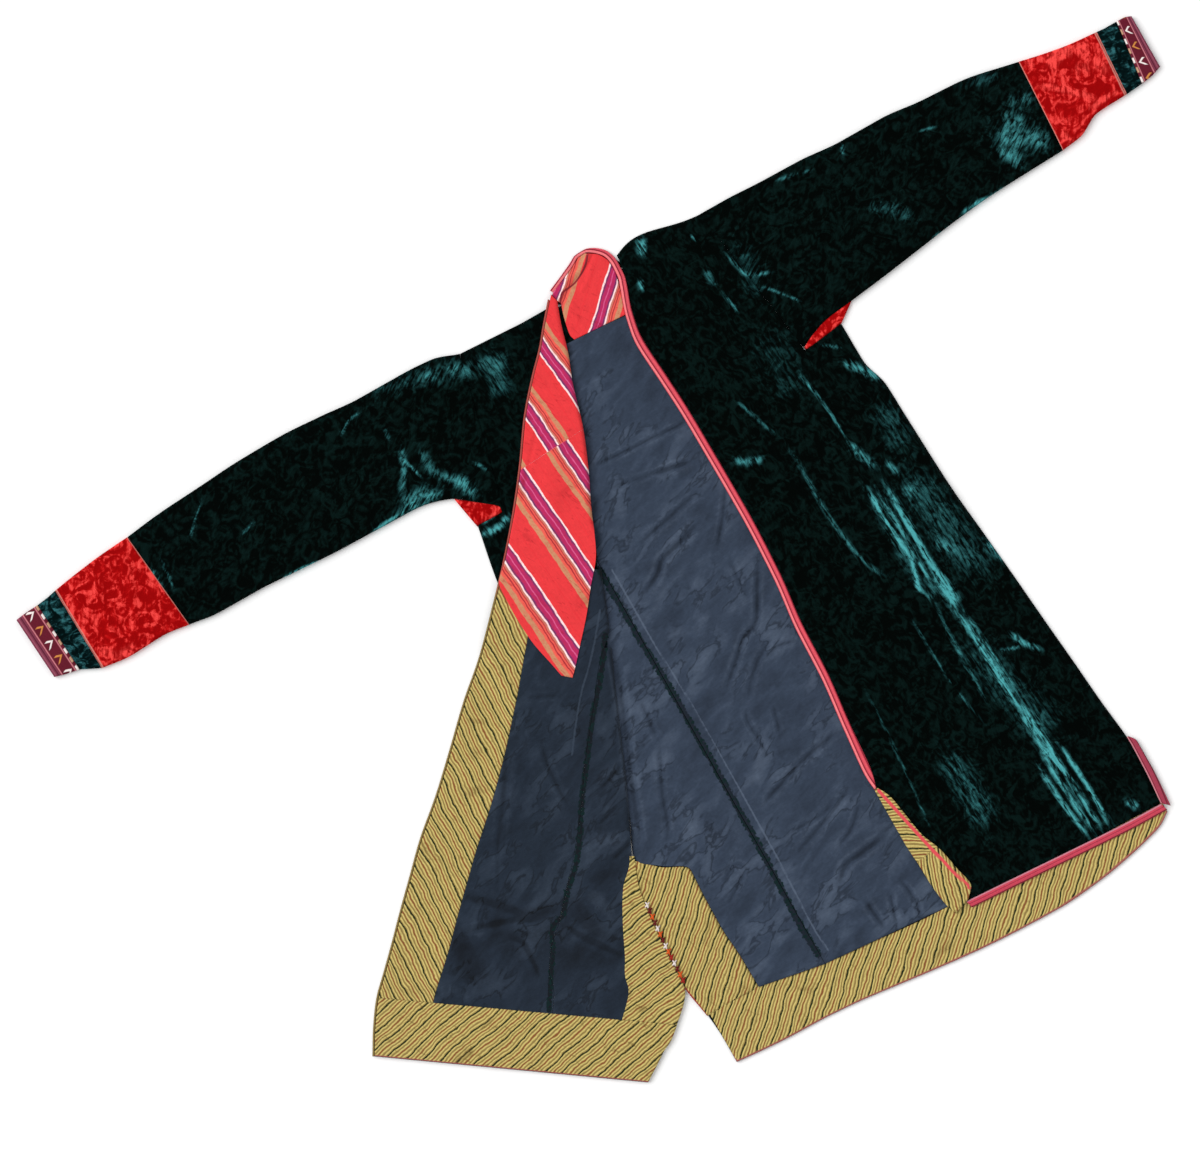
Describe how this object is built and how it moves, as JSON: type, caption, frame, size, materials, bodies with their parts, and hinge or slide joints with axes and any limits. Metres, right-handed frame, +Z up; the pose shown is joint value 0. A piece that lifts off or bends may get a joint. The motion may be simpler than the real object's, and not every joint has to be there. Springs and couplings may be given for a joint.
{
  "type": "chapan",
  "caption": "Long open coat of dark green velvet, lined and with striped facings, red sleeve bands and gussets, laid flat on its back with one front folded back",
  "frame": {"origin": "middle of the laid coat's base, on the surface that it rests on", "axes": "+X across the coat from cuff to cuff, +Y towards the collar, +Z up off the surface"},
  "size_m": [1.52, 0.968, 0.0106],
  "materials": {
    "velvet_green": "crushed velvet, bottle green that is nearly black, with teal where the pile catches the light",
    "velvet_red": "crushed velvet, bright red",
    "lining_indigo": "plain cotton, faded indigo grey, matt",
    "facing_stripe": "woven cotton, yellow with thin green and red-brown stripes, matt",
    "facing_red_stripe": "woven cotton, coral red with tan, magenta, purple and white stripes",
    "binding_pink": "folded cotton binding, crimson pink",
    "cuff_band": "maroon cloth with a stitched band of chevrons"
  },
  "bodies": {
    "root": {"back_body": "velvet_green", "side_gore_back_left": "velvet_green", "side_gore_back_right": "velvet_green", "collar": "velvet_green", "lining_back_centre": "lining_indigo", "lining_back_side_left": "lining_indigo", "slit_facing_back_left": "facing_stripe", "hem_facing_back": "facing_stripe", "neck_facing_back": "facing_red_stripe", "front_left": "velvet_green", "side_gore_front_left": "velvet_green", "front_facing_red_left": "facing_red_stripe", "lining_front_left": "lining_indigo", "lining_side_left": "lining_indigo", "front_facing_left": "facing_stripe", "hem_facing_left": "facing_stripe", "slit_facing_left": "facing_stripe", "edge_binding_left": "binding_pink", "front_right": "velvet_green", "side_gore_front_right": "velvet_green", "edge_binding_right": "binding_pink", "hem_binding_right": "binding_pink", "slit_binding_right": "binding_pink", "corner_facing_right": "facing_stripe", "sleeve_left": "velvet_green", "sleeve_red_band_left": "velvet_red", "sleeve_green_band_left": "velvet_green", "cuff_left": "cuff_band", "gusset_left": "velvet_red", "sleeve_right": "velvet_green", "sleeve_red_band_right": "velvet_red", "sleeve_green_band_right": "velvet_green", "cuff_right": "cuff_band", "gusset_right": "velvet_red"}
  },
  "joints": []
}
